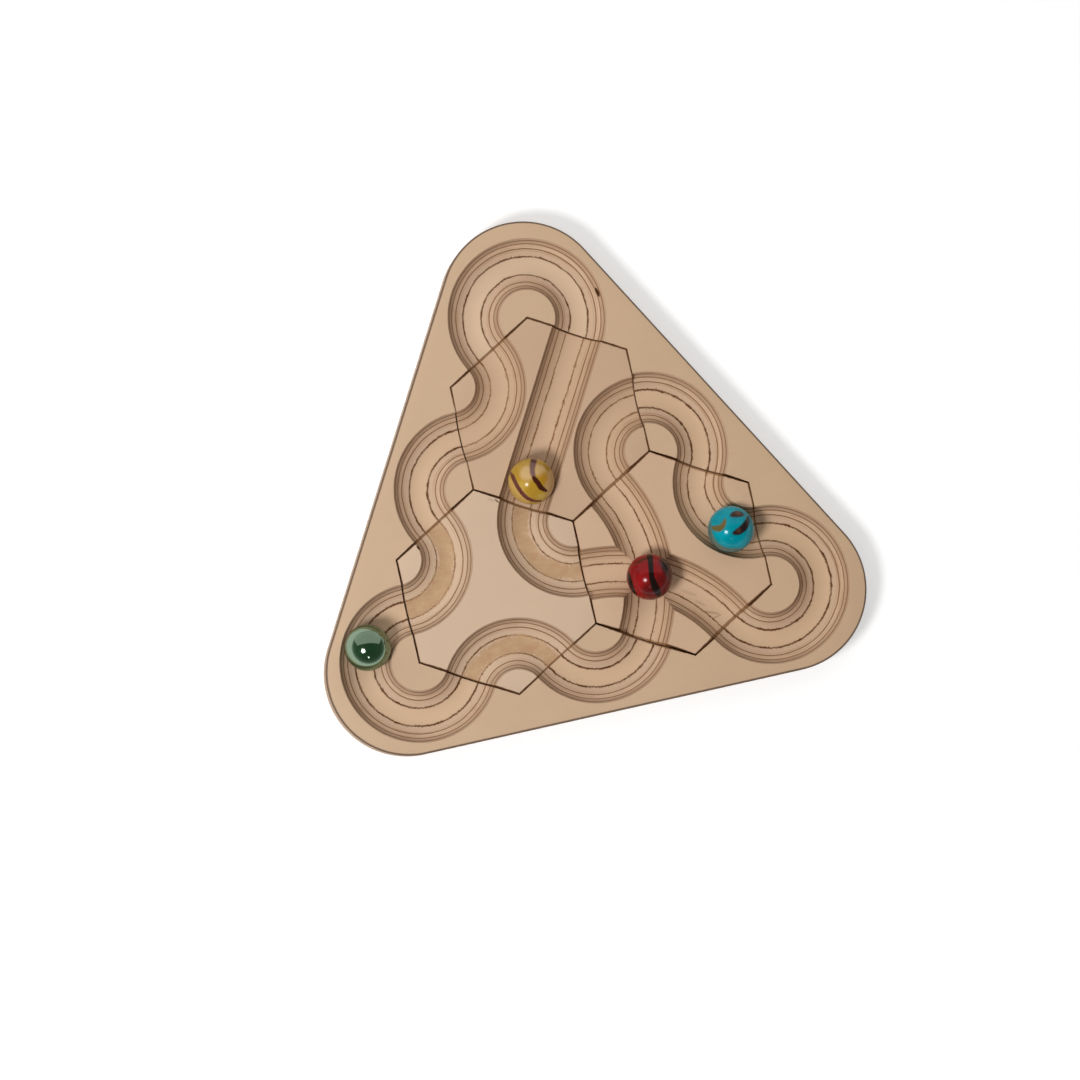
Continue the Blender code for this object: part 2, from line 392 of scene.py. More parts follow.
class Value:
    """One output of a node tree; arithmetic on values adds Math nodes to the tree."""

    def __init__(self, nodes, socket):
        self.nodes = nodes
        self.socket = socket

    def maths(self, operation, *parts):
        """A Math node over values and plain numbers."""
        return self.nodes.node("ShaderNodeMath", {"operation": operation}, dict(enumerate(parts)))

    def __add__(self, other):
        return self.maths("ADD", self, other)

    def __radd__(self, other):
        return self.maths("ADD", other, self)

    def __sub__(self, other):
        return self.maths("SUBTRACT", self, other)

    def __rsub__(self, other):
        return self.maths("SUBTRACT", other, self)

    def __mul__(self, other):
        return self.maths("MULTIPLY", self, other)

    def __rmul__(self, other):
        return self.maths("MULTIPLY", other, self)

    def __truediv__(self, other):
        return self.maths("DIVIDE", self, other)

    def __rtruediv__(self, other):
        return self.maths("DIVIDE", other, self)

    def __neg__(self):
        return self.maths("MULTIPLY", self, -1.0)

    def __abs__(self):
        return self.maths("ABSOLUTE", self)

    def least(self, other):
        """The smaller of two values."""
        return self.maths("MINIMUM", self, other)

    def most(self, other):
        """The larger of two values."""
        return self.maths("MAXIMUM", self, other)

    def merged(self, other, distance):
        """The smaller of two values, rounded off where they come within a distance."""
        return self.maths("SMOOTH_MIN", self, other, distance)


class NodeTree:
    """The nodes of a material or world, started afresh."""

    def __init__(self, owner):
        owner.use_nodes = True
        self.tree = owner.node_tree
        self.tree.nodes.clear()

    def node(self, kind, settings, sockets, output=0):
        """Any node: its type, its settings, the values or links of its sockets, and the output wanted."""
        made = self.tree.nodes.new(kind)
        for name, setting in settings.items():
            if name == "stops":
                self.set_stops(made.color_ramp, setting)
            else:
                setattr(made, name, setting)
        for name, given in sockets.items():
            if isinstance(given, Value):
                self.tree.links.new(given.socket, made.inputs[name])
            else:
                made.inputs[name].default_value = given
        return Value(self, made.outputs[output]) if len(made.outputs) else None

    @staticmethod
    def set_stops(ramp, stops):
        """Gives a colour ramp its positions and colours."""
        while len(ramp.elements) < len(stops):
            ramp.elements.new(1.0)
        for element, (place, colour) in zip(ramp.elements, stops):
            element.position = place
            element.color = colour

    def coordinate(self, kind):
        """A place or direction on the piece, by the name of its kind."""
        return self.node("ShaderNodeTexCoord", {}, {}, kind)

    def axis(self, vector, letter):
        """One of a vector's three parts."""
        return self.node("ShaderNodeSeparateXYZ", {}, {"Vector": vector}, letter)

    def vector_maths(self, operation, *vectors, output="Vector"):
        """A Vector Math node over vectors and plain directions."""
        return self.node("ShaderNodeVectorMath", {"operation": operation}, dict(enumerate(vectors)), output)

    def scaled(self, vector, amount):
        """A vector or colour with all its parts multiplied by one amount."""
        return self.node("ShaderNodeVectorMath", {"operation": "SCALE"}, {0: vector, "Scale": amount})

    def along(self, vector, way):
        """How far a vector reaches along a direction."""
        return self.vector_maths("DOT_PRODUCT", vector, way, output="Value")

    def away(self, vector, point):
        """How far a vector's end is from a point."""
        return self.vector_maths("DISTANCE", vector, point, output="Value")

    def grain(self, vector, fineness, detail=2.0, roughness=0.5):
        """Noise between 0 and 1."""
        sockets = {"Vector": vector, "Scale": fineness, "Detail": detail, "Roughness": roughness}
        return self.node("ShaderNodeTexNoise", {}, sockets)

    def fade(self, value, start, end):
        """A smooth step from 0 at the start to 1 at the end."""
        settings = {"interpolation_type": "SMOOTHSTEP"}
        sockets = {"Value": value, "From Min": start, "From Max": end}
        return self.node("ShaderNodeMapRange", settings, sockets)

    def ramp(self, value, stops):
        """A colour looked up along a row of stops."""
        return self.node("ShaderNodeValToRGB", {"stops": stops}, {"Fac": value})

    def mixed(self, amount, first, second, blend="MIX"):
        """One colour laid over another by an amount."""
        factor, lower, upper, result = 0, 6, 7, 2
        settings = {"data_type": "RGBA", "blend_type": blend}
        return self.node("ShaderNodeMix", settings, {factor: amount, lower: first, upper: second}, result)

    def bump(self, height, strength, distance):
        """A surface direction roughened by a height."""
        sockets = {"Strength": strength, "Distance": distance, "Height": height}
        return self.node("ShaderNodeBump", {}, sockets)


class Finish(NodeTree):
    """A material whose colour is laid on in coats."""

    def __init__(self, name):
        self.material = bpy.data.materials.new(name)
        super().__init__(self.material)
        self.colour = None

    def lay(self, amount, coat):
        """Lays a coat of colour over what is there, by an amount."""
        self.colour = self.mixed(amount, self.colour, coat)

    def brighten(self, amount):
        """Multiplies the light of what is there."""
        self.colour = self.scaled(self.colour, amount)

    def put_on(self, piece, sockets):
        """Closes the material, with the shader's other sockets by name, and puts it on a piece."""
        shader = self.node("ShaderNodeBsdfPrincipled", {}, {"Base Color": self.colour, **sockets})
        self.node("ShaderNodeOutputMaterial", {}, {"Surface": shader})
        piece.data.materials.clear()
        piece.data.materials.append(self.material)


class Birch(Finish):
    """Birch plywood, with its grain laid out in millimetres on the piece as it was made."""

    def __init__(self, name):
        super().__init__(name)
        self.place = self.scaled(self.coordinate("Object"), 1 / MM)
        self.height = self.axis(self.place, "Z")

    def clouds(self, fineness, detail=2.0, roughness=0.5):
        """Noise that is the same in all directions."""
        return self.grain(self.place, fineness, detail, roughness)

    def long_grain(self, fineness, detail=2.0, roughness=0.5):
        """Noise drawn out along the grain, from its fineness along each axis."""
        return self.grain(self.vector_maths("MULTIPLY", self.place, fineness), 1.0, detail, roughness)


# The plies of the routed sheets in millimetres. The bit ran just past the fourth glue line and tore it.
PLY = 1.443
SHEET = (BOARD_TOP - BOARD_BOTTOM) / MM
TORN_LINE_DEPTH = 4 * PLY
VENEER_EDGE = 0.12

# Half thickness of each glue line as the bit smeared it, and the softness of its edge, from the face down.
GLUE_LINES = ((0.2, 0.1), (0.15, 0.07), (0.11, 0.05), (0.0, 0.1), (0.06, 0.06))

# How light the upper four cut plies are beside the face, on walls across the grain and along it,
# the same for the lowest ply, and the cast that the cut gives to the colour.
# The two plies just under the lip are darker partly for their end grain and partly as painted shade under
# the lip.
FRAME_PLIES = ((0.93, 0.9, 1.1, 1.0), (0.9, 0.88, 1.08, 0.97))
TILE_PLIES = ((0.88, 0.86, 1.0, 1.0), (0.86, 0.84, 0.96, 0.98))
LOWEST_PLY = (0.9, 0.95)
FRAME_CAST = (1.0, 1.005, 1.06)
TILE_CAST = (1.0, 0.988, 0.974)

# Depths below the face, in millimetres, over which one part of a track passes into the next.
LIP = (0.25, 1.0)
WALL_FOOT = (4.6, 5.4)
BARED_FLOOR = (TORN_LINE_DEPTH, TORN_LINE_DEPTH + 0.15)
STAINED_FLOOR = (5.6, 6.1)
BRISTLED_FLOOR = (5.5, 5.9)
SEAM_IN_TRACK = (0.6, 2.2)

# The stretch of the board, from its middle to its top, over which the bared floor of a track turns pale.
PALE_STRETCH = (45.0, 75.0)

# Painted light falloff: over the board's width the veneer runs from its own colour on the left to this
# darker, warmer cast on the right.
HALF_WIDTH = 95
PAINTED_FALLOFF_CAST = (0.918, 0.89, 0.85, 1)

# Seams in millimetres: half width of a saw cut with its scorch, the soft edge of the scorch, and the
# distances over which the extra widths below fade out.
SCORCH_WIDTH = SEAM_GAP / MM / 2 + 0.06
SCORCH_EDGE = (-0.12, 0.12)
SCORCH_REACH = (9.0, 19.0)

# Sides of the seams that the saw scorched more or less: place on the board and extra width.
SCORCHED_SIDES = (
    (15.6, -45.0, 0.34),
    (46.8, -45.0, 0.26),
    (15.6, 9.0, 0.22),
    (46.8, 9.0, 0.19),
    (-46.8, 9.0, 0.12),
    (-46.8, -45.0, 0.12),
    (-15.6, 9.0, 0.12),
    (-15.6, 63.0, 0.09),
    (-31.2, 36.0, -0.2),
    (31.2, 36.0, -0.12),
    (62.4, -18.0, -0.08),
)

# Splinters broken out of the tracks: place on the board, direction, half length, half width and darkness.
FRAME_CHIPS = ((26.0, 75.7, 101.0, 1.8, 0.5, 1.0),)
THREE_BEND_CHIPS = (
    (-54.2, 2.6, 110.0, 0.9, 0.4, 1.0),
    (-24.2, 12.5, -52.0, 1.0, 0.3, 0.8),
    (-26.0, 13.2, -35.0, 1.6, 0.26, 0.25),
)
CROSSING_CHIPS = (
    (40.8, -40.9, -22.0, 3.0, 0.42, 0.28),
    (42.4, -42.6, 12.0, 1.8, 0.4, 0.24),
    (37.6, -36.8, -42.0, 2.4, 0.5, 0.16),
    (34.6, -32.6, -32.0, 3.2, 0.6, 0.13),
)

# The rim in millimetres: how far out a tip's round corner begins, what counts as well inside it, and then
# the eased edge and the dark line on it by their distance from the outline, and how deep that line goes.
CORNER_START = (90.8, 91.0)
FAR_INSIDE = 50.0
EASED_EDGE = (0.5, 0.85)
CORNER_LINE = (-0.05, 0.12)
CORNER_LINE_FOOT = (0.75, 1.1)


class RoutedBirch(Birch):
    """Sanded birch plywood with routed tracks: cut plies, torn glue, veneer and burnt saw cuts."""

    def __init__(self, name, face):
        super().__init__(name)
        self.face = face
        self.x = self.axis(self.place, "X")
        self.y = self.axis(self.place, "Y")
        self.flat = self.vector_maths("MULTIPLY", self.place, (1, 1, 0))
        self.depth = BOARD_TOP / MM - self.height
        self.drift = self.clouds(0.16) - 0.5
        self.ragged = self.long_grain((3.4, 2.2, 1.0), detail=3.0, roughness=0.65) - 0.5
        self.streaks = self.long_grain((0.045, 1.1, 0.4), detail=4.0, roughness=0.6)
        self.below_lip = self.fade(self.depth, *LIP)
        self.wall = self.below_lip * (1 - self.fade(self.depth, *WALL_FOOT))

    def ply_section(self, depth, tints, cast):
        """Colour by depth below the face: veneer, then plies with a glue line between each two."""
        floor_ply = 4
        cut_face = [part * share for part, share in zip(self.face, cast)]
        plies = [dimmed(cut_face, tint) for tint in tints]
        plies[floor_ply] = dimmed(self.face, tints[floor_ply])
        stops = [(0.0, self.face), (VENEER_EDGE / SHEET, plies[0])]
        for line, (half, soft) in enumerate(GLUE_LINES, 1):
            middle = PLY * line
            glue = GLUE if line < 3 else DEEP_GLUE
            stops.append(((middle - half - soft) / SHEET, plies[line - 1]))
            if half:
                stops.append(((middle - half) / SHEET, glue))
                stops.append(((middle + half) / SHEET, glue))
            stops.append(((middle + half + soft) / SHEET, plies[line]))
        return self.ramp(depth / SHEET, stops)

    def cut_plies(self, plies, cast, floor_tint):
        """The wavering cut plies, which lie crosswise in turn: each is darker where its end grain is cut."""
        wavering = self.depth + self.below_lip * (0.24 * self.drift + 0.2 * self.ragged)
        sections = []
        for tints, lowest in zip(plies, LOWEST_PLY):
            sections.append(self.ply_section(wavering, (*tints, floor_tint, lowest), cast))
        facing = self.coordinate("Normal")
        east = self.axis(facing, "X")
        north = self.axis(facing, "Y")
        sideways = east * east + north * north + 0.001
        self.colour = self.mixed(east * east / sideways, *sections)

    def rub_walls(self):
        """Faint rings left on the walls by the turning bit, and darker stretches where it rubbed."""
        rings = self.fade(self.long_grain((0.05, 0.05, 6.5), detail=1.0), 0.54, 0.62)
        rubbed = self.fade(self.clouds(0.12, detail=3.0, roughness=0.6), 0.5, 0.66)
        self.lay(self.wall * (0.42 * rings + 0.12 * rubbed), TOOL_MARK)

    def tear_glue_line(self, torn, torn_half):
        """The torn glue line, worn in places, with short hairs along the grain."""
        hairs = self.long_grain((1.7, 0.45, 1.0), detail=4.0, roughness=0.75)
        worn = self.fade(self.clouds(0.26, detail=3.0), 0.3, 0.7)
        gap = abs(self.depth + 0.2 * self.drift + 0.42 * (hairs - 0.5) - TORN_LINE_DEPTH)
        line = 1 - self.fade(gap - torn_half - 0.03 * worn, -0.03, 0.06)
        ticks = self.fade(hairs, 0.56, 0.64) * (1 - self.fade(gap, 0.14, 0.32))
        self.lay((line * (0.8 + 0.2 * worn)).most(0.5 * ticks), torn)

    def bare_floor(self):
        """The pale ply bared in the track at the top of the board."""
        bared = self.fade(self.depth + 0.4 * self.drift, *BARED_FLOOR) * self.fade(self.y, *PALE_STRETCH)
        self.lay(0.8 * bared, PALE_PLY)

    def tone_veneer_and_light_falloff(self):
        """Streaks, clouds and flecks of the sanded veneer, and painted light falloff: a little lighter
        towards the top, darker and warmer towards the right.
        """
        cloud = self.clouds(0.045)
        fleck = self.long_grain((0.5, 3.2, 1.0))
        # The last term is painted light falloff, lighter towards the top.
        self.brighten(0.928 + 0.05 * self.streaks + 0.08 * cloud + 0.024 * fleck + 0.0004 * self.y)
        # Painted light falloff: darker and warmer towards the right.
        cast = self.ramp((self.x + HALF_WIDTH) / (2 * HALF_WIDTH), [(0.0, grey(1)), (1.0, PAINTED_FALLOFF_CAST)])
        self.colour = self.mixed(1.0, self.colour, cast, "MULTIPLY")

    def stain_floor(self, stain, torn):
        """A fuzzy stain of glue with pale and dark bristles in it, where the bit ran a little deep."""
        fuzzy = self.long_grain((1.1, 0.6, 1.0), detail=5.0, roughness=0.75) - 0.5
        broad = self.clouds(0.09, detail=1.0) - 0.5
        stained = self.fade(self.depth + 1.6 * fuzzy + 0.9 * broad, *STAINED_FLOOR)
        mottle = self.long_grain((0.22, 0.34, 1.0), detail=5.0, roughness=0.6)
        tints = self.ramp(mottle, [(0.36, GLUE_STAIN), (0.5, stain), (0.68, dimmed(stain, 1.12))])
        self.lay(0.85 * stained, tints)
        floor = self.fade(self.depth, *BRISTLED_FLOOR)
        bristles = self.long_grain((4.2, 1.0, 1.0), detail=3.0, roughness=0.7)
        self.lay(0.4 * floor * self.fade(bristles, 0.62, 0.72), FIBRE)
        self.lay(0.3 * floor * (1 - self.fade(bristles, 0.3, 0.38)), torn)

    def splinter(self, across, along, angle, half_length, half_width, darkness):
        """A splinter broken out of the veneer."""
        nearby = self.vector_maths("SUBTRACT", self.place, (across, along, 0))
        lengthwise = self.along(nearby, at_angle(angle)) / half_length
        crosswise = self.along(nearby, at_angle(angle + 90)) / half_width
        far = lengthwise * lengthwise + crosswise * crosswise
        broken = 1 - self.fade(far + 1.6 * self.ragged, 0.5, 1.3)
        self.lay(darkness * broken, CHIP)

    def from_saw_line(self, centre):
        """Distance from a hexagonal tile's sawn line in millimetres."""
        from_centre = self.vector_maths("SUBTRACT", self.place, centre / MM)
        reach = abs(self.along(from_centre, at_angle(0)))
        for angle in (60, 120):
            reach = reach.most(abs(self.along(from_centre, at_angle(angle))))
        return abs(reach - HEX_APOTHEM / MM)

    def burn_seams(self, centres):
        """Burnt saw cuts: the walls of every seam, and a narrow uneven scorch beside it."""
        seam, *others = [self.from_saw_line(centre) for centre in centres]
        for other in others:
            seam = seam.least(other)
        width = SCORCH_WIDTH
        for across, along, extra in SCORCHED_SIDES:
            near = 1 - self.fade(self.away(self.flat, (across, along, 0)), *SCORCH_REACH)
            width = width + near * extra
        flicker = 0.65 + 0.7 * self.clouds(0.7, detail=3.0)
        scorch = 1 - self.fade(seam - width * flicker, *SCORCH_EDGE)
        in_track = self.fade(self.depth, *SEAM_IN_TRACK)
        self.lay(scorch * (0.94 - 0.2 * in_track), self.mixed(in_track, CHAR, SINGED))

    def inside_outline(self):
        """Distance inside the board's rounded outline in millimetres."""
        side = (CORNER_DISTANCE / 2 + CORNER_RADIUS) / MM
        reaches = []
        for tip in TIP_ANGLES:
            along_tip = self.along(self.flat, at_angle(tip))
            in_corner = self.fade(along_tip, *CORNER_START)
            past_corner = self.away(self.flat, at_angle(tip, CORNER_DISTANCE / MM)) - CORNER_RADIUS / MM
            corner = past_corner * in_corner - FAR_INSIDE * (1 - in_corner)
            reaches.append((-along_tip - side).most(corner))
        first, second, third = reaches
        return -first.most(second).most(third)

    def sand_rim_with_shade_line(self):
        """The outer edge: lighter sanded ply, with a thin dark line of painted shade along the eased corner.
        """
        inside = self.inside_outline()
        edge = 1 - self.fade(inside, *EASED_EDGE)
        self.brighten(1.0 + 0.1 * edge)
        line = edge * self.fade(inside, *CORNER_LINE) * (1 - self.fade(self.depth, *CORNER_LINE_FOOT))
        # Painted shade: a thin dark line along the eased corner.
        self.lay(0.85 * line, EDGE_LINE_SHADE)

    def raise_fibres(self, piece):
        """Closes the finish with its dull sheen and raised fibres, and puts it on a piece."""
        fibres = self.long_grain((1.2, 5.0, 2.5), detail=3.0, roughness=0.6)
        relief = fibres * (0.35 + 0.65 * self.below_lip) + 0.4 * self.ragged * self.wall
        self.put_on(piece, {
            "Roughness": 0.58 + 0.14 * self.ragged + 0.06 * self.streaks,
            "Normal": self.bump(relief, 0.35, 0.06 * MM),
            "Specular IOR Level": 0.1,
        })


def routed_birch(
    piece, name, face, plies, cast, floor_tint, torn, seams,
    torn_half=0.05, bared=False, stain=None, chips=(), rim=False,
):
    """Finishes a routed board, from its cut plies to its burnt seams."""
    birch = RoutedBirch(name, face)
    birch.cut_plies(plies, cast, floor_tint)
    birch.rub_walls()
    birch.tear_glue_line(torn, torn_half)
    if bared:
        birch.bare_floor()
    birch.tone_veneer_and_light_falloff()
    if stain:
        birch.stain_floor(stain, torn)
    for chip in chips:
        birch.splinter(*chip)
    birch.burn_seams(seams)
    if rim:
        birch.sand_rim_with_shade_line()
    birch.raise_fibres(piece)


def base_birch(piece):
    """Finishes the thin base panel: plain birch faces with soft grain, and three plies at its edge."""
    birch = Birch("base_birch")
    glue_half = 0.035
    stops = []
    for ply, tint in enumerate((1.0, 0.78, 1.0)):
        wood = dimmed(FACE, tint)
        stops += [(ply / 3 + glue_half, wood), ((ply + 1) / 3 - glue_half, wood), ((ply + 1) / 3, GLUE)]
    stops.pop()
    drift = birch.clouds(0.3) - 0.5
    birch.colour = birch.ramp((birch.height + 0.14 * drift) / (BASE_TOP / MM), stops)
    rings = birch.long_grain((0.008, 0.09, 0.09), detail=5.0, roughness=0.6)
    streaks = birch.long_grain((0.05, 1.3, 0.6), detail=4.0, roughness=0.6)
    bend = birch.long_grain((0.012, 0.03, 0.03))
    birch.brighten(0.7 + 0.34 * rings + 0.18 * streaks + 0.08 * bend)
    birch.put_on(piece, {
        "Roughness": 0.55 + 0.15 * streaks,
        "Normal": birch.bump(streaks, 0.2, 0.05 * MM),
        "Specular IOR Level": 0.35,
    })


def on_marble(across, rise):
    """A point of the unit marble as it lies in the photograph, from its place on the visible disc."""
    towards = math.sqrt(max(0.0, 1 - across * across - rise * rise))
    return PHOTO_RIGHT * across + PHOTO_UP * rise + PHOTO_TOWARDS * towards


def flowing(knots):
    """Rows of numbers with one more row in each gap, on a smooth curve through them all."""
    padded = [knots[0], *knots, knots[-1]]
    curve = [knots[0]]
    for before, start, end, after in zip(padded, padded[1:], padded[2:], padded[3:]):
        middle = [(9 * (b + c) - a - d) / 16 for a, b, c, d in zip(before, start, end, after)]
        curve += [middle, end]
    return curve


# How much the swirls of a marble waver and how finely, and how softly the lengths of one stroke join.
STIR = 0.05
STIR_FINENESS = 2.4
STROKE_JOINING = 0.08


class SwirledGlass(Finish):
    """Opaque marble glass, with bands and blots of colour drawn on its unit sphere."""

    def __init__(self, name, radius, cloud_fineness, cloud_stops):
        super().__init__(name)
        clean = self.scaled(self.coordinate("Object"), 1 / radius)
        sockets = {"Vector": clean, "Scale": STIR_FINENESS, "Detail": 3.0}
        stir = self.node("ShaderNodeTexNoise", {}, sockets, "Color")
        shift = self.scaled(self.vector_maths("SUBTRACT", stir, (0.5, 0.5, 0.5)), STIR)
        self.way = self.vector_maths("NORMALIZE", self.vector_maths("ADD", clean, shift))
        self.colour = self.ramp(self.grain(self.way, cloud_fineness, detail=3.0), cloud_stops)

    def stroke(self, knots, colour, share=1.0, soft=0.025):
        """A brush stroke through places on the disc, each with its half width."""
        curve = [(on_marble(across, rise), half) for across, rise, half in flowing(knots)]
        edge = None
        for (start, first), (end, last) in zip(curve, curve[1:]):
            run = end - start
            passed = self.along(self.way, run / run.length_squared) - start.dot(run) / run.length_squared
            passed = passed.most(0.0).least(1.0)
            chord = self.vector_maths("ADD", self.scaled(run, passed), start)
            gap = self.away(self.way, self.vector_maths("NORMALIZE", chord))
            here = gap - (first + (last - first) * passed)
            edge = edge.merged(here, STROKE_JOINING) if edge else here
        self.lay(share * (1 - self.fade(edge, -soft, soft)), colour)

    def blot(self, point, radius, colour, share=1.0, soft=0.05):
        """A rounded patch about a place on the disc."""
        far = self.away(self.way, on_marble(*point))
        self.lay(share * (1 - self.fade(far, radius - soft, radius + soft)), colour)

    def beyond(self, point, limit, colour, share=1.0, soft=0.06):
        """All of the marble past a limit in one direction of the disc."""
        reach = self.along(self.way, on_marble(*point))
        self.lay(share * self.fade(reach, limit - soft, limit + soft), colour)

    def polish(self, piece):
        """Closes the finish with a gloss that has faint handling scuffs, and puts it on a marble."""
        scuff = self.grain(self.coordinate("Object"), 900.0, detail=4.0, roughness=0.7)
        self.put_on(piece, {
            "Roughness": 0.15 + 0.04 * self.fade(scuff, 0.5, 0.8),
            "IOR": 1.5,
            "Specular IOR Level": 0.22,
        })


def yellow_swirl(piece, radius):
    """Ochre glass with brown and purple bands and cream patches, two of them a painted reflection of the
    window.
    """
    clouds = [(0.3, shade(170, 129, 36)), (0.52, shade(183, 144, 50)), (0.7, shade(199, 166, 82))]
    glass = SwirledGlass("yellow_swirl_glass", radius, 1.6, clouds)
    glass.beyond((-0.75, -0.6), 0.72, shade(194, 156, 82))
    glass.beyond((-0.2, 0.95), 0.8, shade(186, 148, 72), share=0.7)
    # Painted reflection of the window: the two cream patches in the upper half.
    glass.blot((-0.16, 0.36), 0.34, shade(204, 168, 116), share=0.9, soft=0.12)
    glass.blot((0.36, 0.5), 0.3, shade(206, 166, 112), share=0.85, soft=0.12)
    glass.beyond((0.93, -0.1), 0.84, shade(196, 156, 106), share=0.8)
    glass.blot((0.56, 0.16), 0.24, shade(176, 126, 28), share=0.8, soft=0.12)
    lower_band = (
        (-0.93, 0.4, 0.04), (-0.8, 0.2, 0.09), (-0.69, -0.04, 0.1), (-0.52, -0.35, 0.1),
        (-0.28, -0.64, 0.1), (0.04, -0.83, 0.09), (0.43, -0.85, 0.06),
    )
    glass.stroke(lower_band, shade(100, 52, 42), soft=0.035)
    purple_band = (
        (0.12, 0.95, 0.13), (0.1, 0.86, 0.13), (0.06, 0.66, 0.12),
        (0.045, 0.48, 0.1), (0.07, 0.28, 0.09), (0.13, 0.13, 0.05),
    )
    glass.stroke(purple_band, shade(108, 76, 80), share=0.9, soft=0.04)
    glass.blot((0.1, 0.86), 0.11, shade(78, 48, 50), share=0.9)
    middle_band = (
        (0.1, 0.14, 0.07), (0.2, 0.03, 0.09), (0.31, -0.1, 0.1), (0.42, -0.28, 0.1), (0.65, -0.43, 0.06),
    )
    glass.stroke(middle_band, shade(70, 32, 18))
    glass.polish(piece)


def red_swirl(piece, radius):
    """Deep red glass with black bands, a smoky edge and painted shade on its lower right."""
    clouds = [(0.3, shade(124, 18, 20)), (0.5, shade(140, 22, 24)), (0.72, shade(150, 28, 28))]
    glass = SwirledGlass("red_swirl_glass", radius, 1.4, clouds)
    # Painted shade darkening the lower right of the marble.
    glass.beyond((0.62, -0.6), 0.62, shade(88, 24, 22), share=0.75, soft=0.2)
    glass.blot((-0.08, -0.58), 0.26, shade(84, 20, 18), share=0.6, soft=0.14)
    olive_band = ((-0.66, 0.55, 0.05), (-0.42, 0.7, 0.11), (-0.2, 0.8, 0.12), (0.0, 0.86, 0.1))
    glass.stroke(olive_band, shade(74, 44, 28), share=0.8, soft=0.07)
    glass.beyond((0.82, 0.44), 0.86, shade(46, 38, 38), share=0.92)
    glass.beyond((0.95, 0.05), 0.92, shade(104, 62, 54), share=0.6, soft=0.05)
    middle_band = (
        (0.0, 0.95, 0.12), (0.01, 0.8, 0.12), (0.03, 0.47, 0.1), (0.05, 0.14, 0.1),
        (0.12, -0.18, 0.12), (0.26, -0.5, 0.15), (0.42, -0.8, 0.1),
    )
    glass.stroke(middle_band, shade(28, 18, 14))
    left_band = ((-0.93, 0.1, 0.12), (-0.88, -0.12, 0.17), (-0.79, -0.42, 0.17), (-0.64, -0.7, 0.1))
    glass.stroke(left_band, shade(30, 18, 14))
    glass.polish(piece)


def turquoise_swirl(piece, radius):
    """Turquoise glass with brown and olive strokes and a painted reflection of the wood along its lower-left
    edge.
    """
    clouds = [(0.3, shade(0, 134, 148)), (0.5, shade(0, 148, 162)), (0.72, shade(4, 158, 176))]
    glass = SwirledGlass("turquoise_swirl_glass", radius, 1.5, clouds)
    # Painted reflection of the wood, a grey-brown band along the lower-left edge.
    wood_reflection_edge = (
        (-0.9, 0.24, 0.06), (-0.93, 0.0, 0.15), (-0.89, -0.27, 0.2), (-0.73, -0.57, 0.22),
        (-0.49, -0.79, 0.22), (-0.11, -0.92, 0.2), (0.32, -0.87, 0.1),
    )
    glass.stroke(wood_reflection_edge, shade(92, 100, 82), share=0.85, soft=0.1)
    oval = ((-0.02, 0.57, 0.05), (0.12, 0.62, 0.14), (0.27, 0.66, 0.17), (0.43, 0.65, 0.12))
    glass.stroke(oval, shade(58, 42, 36), soft=0.05)
    glass.blot((0.28, 0.69), 0.12, shade(100, 64, 40), share=0.8, soft=0.06)
    crescent = (
        (0.72, 0.5, 0.05), (0.7, 0.34, 0.12), (0.6, 0.15, 0.16),
        (0.44, -0.02, 0.15), (0.27, -0.12, 0.13), (0.1, -0.17, 0.07),
    )
    glass.stroke(crescent, shade(42, 32, 32), soft=0.05)
    glass.blot((0.31, -0.07), 0.1, shade(92, 60, 46), share=0.7, soft=0.06)
    olive_hook = (
        (-0.28, 0.42, 0.04), (-0.32, 0.27, 0.08), (-0.41, 0.11, 0.11),
        (-0.58, 0.02, 0.13), (-0.8, 0.05, 0.08),
    )
    glass.stroke(olive_hook, shade(104, 92, 52), soft=0.05)
    glass.polish(piece)


def green_lustre(piece, radius):
    """Dark green glass with a mirror-like lustre."""
    glass = Finish("green_lustre_glass")
    place = glass.scaled(glass.coordinate("Object"), 1 / radius)
    clouds = [(0.3, shade(20, 54, 28)), (0.55, shade(26, 62, 34)), (0.75, shade(36, 74, 44))]
    glass.colour = glass.ramp(glass.grain(place, 1.3, detail=3.0), clouds)
    scuff = glass.grain(place, 7.0, detail=4.0, roughness=0.7)
    glass.put_on(piece, {
        "Roughness": 0.08 + 0.08 * glass.fade(scuff, 0.5, 0.75),
        "IOR": 3.2,
        "Specular Tint": shade(226, 250, 220),
    })


# The pieces on their bodies

def settle(piece, body, node):
    """Puts a finished piece on its body in place of its plain solid."""
    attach(piece, body)
    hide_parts(node)


def lay_tile(kind, centre, cutters, face_extras, foot_extras, **look):
    """Makes, finishes and settles one lift-out tile."""
    tile = kind + "_tile"
    piece = routed_tile(kind + "_track_tile", centre, cutters, face_extras, foot_extras)
    routed_birch(piece, tile + "_birch", plies=TILE_PLIES, cast=TILE_CAST, seams=(centre,), **look)
    settle(piece, tile, tile)


def tile_bend(centre, corner):
    """The bend about one corner of a tile."""
    return bend_cutter(centre + at_angle(corner, HEX_SIDE), TILE_BEND_RADIUS)


frame_board = routed_frame()
routed_birch(
    frame_board,
    "frame_birch",
    face=FACE,
    plies=FRAME_PLIES,
    cast=FRAME_CAST,
    floor_tint=1.05,
    torn=shade(92, 52, 16),
    seams=TILE_CENTRES,
    torn_half=0.075,
    bared=True,
    chips=FRAME_CHIPS,
    rim=True,
)
settle(frame_board, "board", "maze_frame")

base_board = base_sheet()
base_birch(base_board)
settle(base_board, "board", "base_panel")

